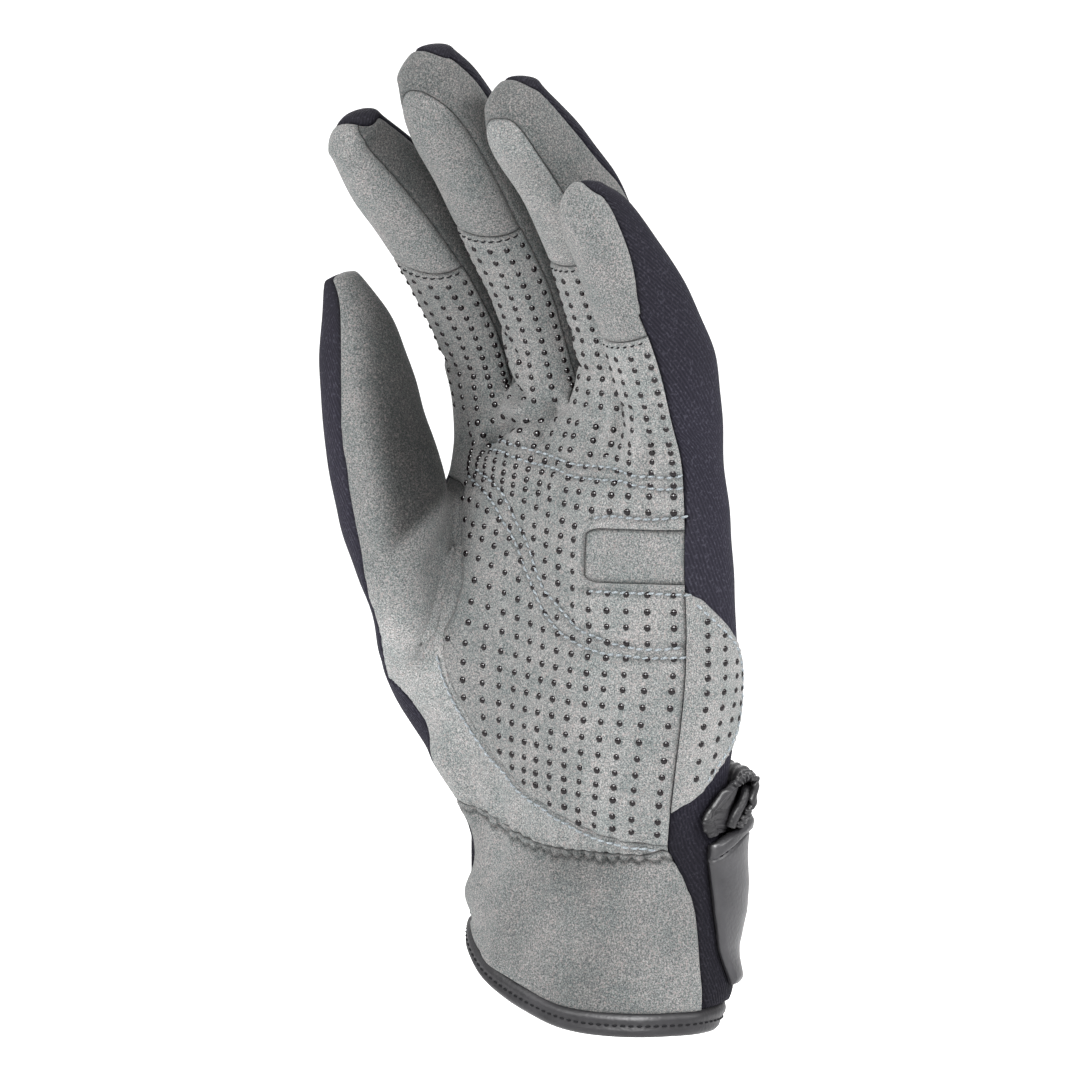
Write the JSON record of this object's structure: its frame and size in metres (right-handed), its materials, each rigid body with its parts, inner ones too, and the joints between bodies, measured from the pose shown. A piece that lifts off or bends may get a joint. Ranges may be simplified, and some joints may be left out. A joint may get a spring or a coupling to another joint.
{
  "type": "diving glove",
  "caption": "Five-finger left-hand diving glove: navy neoprene back, grey suede palm with grip dots, bound cuff and wrist strap.",
  "frame": {"origin": "middle of the wrist opening, level with the hem's lowest part", "axes": "+Z from the wrist to the fingertips, palm facing -Y, thumb towards -X"},
  "size_m": [0.0945, 0.0819, 0.2235],
  "materials": {
    "neoprene": "fine jersey knit over neoprene",
    "dotted_suede": "matt synthetic suede with raised grip dots",
    "plain_suede": "matt synthetic suede",
    "trim": "smooth satin synthetic leather"
  },
  "bodies": {
    "root": {"back_panel": "neoprene", "index_back": "neoprene", "middle_back": "neoprene", "ring_back": "neoprene", "little_back": "neoprene", "thumb_back": "neoprene", "palm_panel": "dotted_suede", "side_patch": "dotted_suede", "palm_inset": "plain_suede", "index_tip_pad": "plain_suede", "middle_tip_pad": "plain_suede", "ring_tip_pad": "plain_suede", "little_tip_pad": "plain_suede", "gusset_index_middle": "plain_suede", "gusset_middle_ring": "plain_suede", "gusset_ring_little": "plain_suede", "thumb_panel": "plain_suede", "cuff_panel": "plain_suede", "cuff_binding": "trim", "strap_flap": "trim", "strap_ruffle": "trim"}
  },
  "joints": []
}
